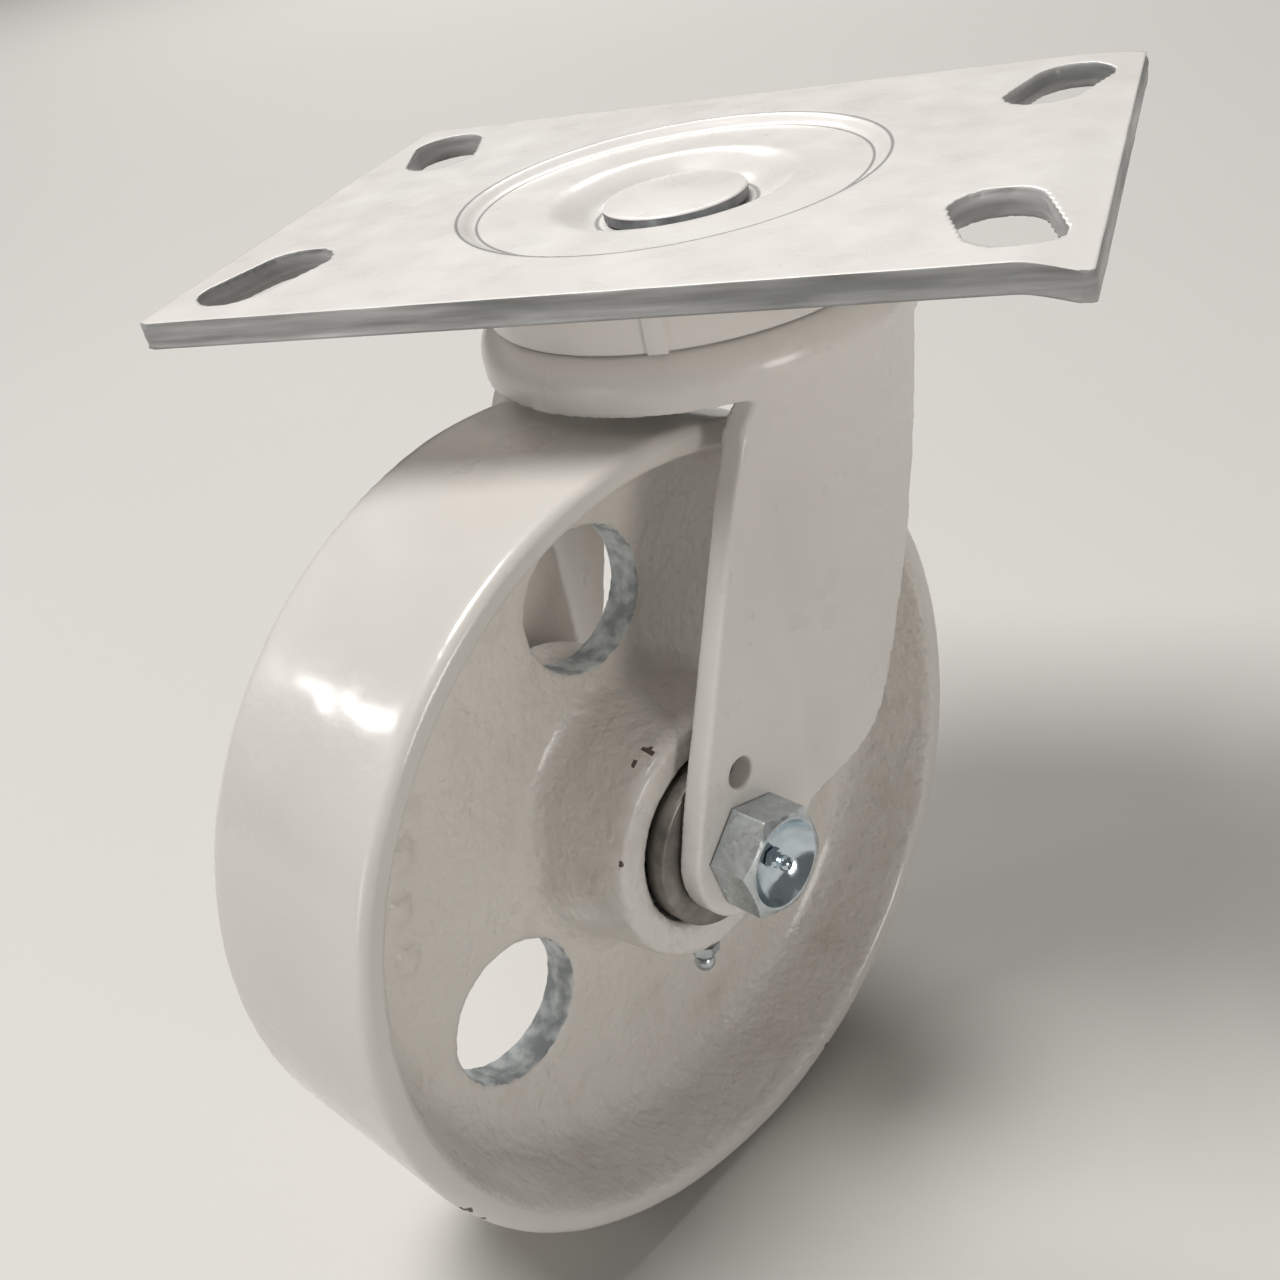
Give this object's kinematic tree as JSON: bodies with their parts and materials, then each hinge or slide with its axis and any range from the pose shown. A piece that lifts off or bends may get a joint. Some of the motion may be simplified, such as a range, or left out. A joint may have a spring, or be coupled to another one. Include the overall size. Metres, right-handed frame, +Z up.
{
  "type": "swivel gate wheel",
  "caption": "Swivel gate wheel: slotted rectangular top plate, drawn steel fork and enamelled cast-iron wheel on a greased axle bolt.",
  "frame": {"origin": "middle of the top plate's upper face, on the swivel axis", "axes": "+Z up out of the plate along the swivel axis, +X along the plate's long side; at rest the fork trails towards -X and -Y"},
  "size_m": [0.1588, 0.1752, 0.1841],
  "materials": {
    "enamelled_steel": "warm light grey gloss enamel",
    "enamelled_iron": "warm light grey enamel over sand-cast iron",
    "zinc_plate": "bright zinc plate",
    "bearing_steel": "ground and oiled",
    "washer_steel": "dull, oiled"
  },
  "bodies": {
    "plate": {"top_plate": "enamelled_steel", "kingpin": "enamelled_steel", "dust_ring": "enamelled_steel", "lower_race_cup": "bearing_steel", "kingpin_nut": "zinc_plate"},
    "upper_ball_ring": {"upper_ball_1": "bearing_steel", "upper_ball_2": "bearing_steel", "upper_ball_3": "bearing_steel", "upper_ball_4": "bearing_steel", "upper_ball_5": "bearing_steel", "upper_ball_6": "bearing_steel", "upper_ball_7": "bearing_steel", "upper_ball_8": "bearing_steel", "upper_ball_9": "bearing_steel", "upper_ball_10": "bearing_steel", "upper_ball_11": "bearing_steel", "upper_ball_12": "bearing_steel", "upper_ball_13": "bearing_steel", "upper_ball_14": "bearing_steel", "upper_ball_15": "bearing_steel", "upper_ball_16": "bearing_steel"},
    "lower_ball_ring": {"lower_ball_1": "bearing_steel", "lower_ball_2": "bearing_steel", "lower_ball_3": "bearing_steel", "lower_ball_4": "bearing_steel", "lower_ball_5": "bearing_steel", "lower_ball_6": "bearing_steel", "lower_ball_7": "bearing_steel", "lower_ball_8": "bearing_steel", "lower_ball_9": "bearing_steel", "lower_ball_10": "bearing_steel", "lower_ball_11": "bearing_steel", "lower_ball_12": "bearing_steel", "lower_ball_13": "bearing_steel", "lower_ball_14": "bearing_steel"},
    "fork": {"fork": "enamelled_steel", "axle_bolt": "zinc_plate", "axle_nut": "zinc_plate", "axle_grease_fitting": "zinc_plate", "axle_bush": "bearing_steel", "hub_washer_near": "washer_steel", "hub_washer_far": "washer_steel"},
    "roller_bearing": {"roller_1": "bearing_steel", "roller_2": "bearing_steel", "roller_3": "bearing_steel", "roller_4": "bearing_steel", "roller_5": "bearing_steel", "roller_6": "bearing_steel", "roller_7": "bearing_steel", "roller_8": "bearing_steel", "roller_9": "bearing_steel", "roller_cage": "washer_steel"},
    "wheel": {"wheel_casting": "enamelled_iron", "hub_grease_fitting": "zinc_plate"}
  },
  "joints": [
    {"name": "swivel", "type": "hinge", "parent": "plate", "child": "fork", "pos_m": [0, 0, 0], "axis": [0, 0, 1], "continuous": true},
    {"name": "upper_balls_orbit", "type": "hinge", "parent": "plate", "child": "upper_ball_ring", "pos_m": [0, 0, -0.012], "axis": [0, 0, 1], "continuous": true},
    {"name": "lower_balls_orbit", "type": "hinge", "parent": "plate", "child": "lower_ball_ring", "pos_m": [0, 0, -0.026], "axis": [0, 0, 1], "continuous": true},
    {"name": "wheel_spin", "type": "hinge", "parent": "fork", "child": "wheel", "pos_m": [-0.01843, -0.04045, -0.10795], "axis": [-0.91, 0.4147, 0], "continuous": true},
    {"name": "rollers_orbit", "type": "hinge", "parent": "fork", "child": "roller_bearing", "pos_m": [-0.01843, -0.04045, -0.10795], "axis": [-0.91, 0.4147, 0], "continuous": true}
  ],
  "couplings": [
    {"joint": "upper_balls_orbit", "follows": "swivel", "ratio": 0.5},
    {"joint": "lower_balls_orbit", "follows": "swivel", "ratio": 0.5},
    {"joint": "rollers_orbit", "follows": "wheel_spin", "ratio": 0.644}
  ]
}
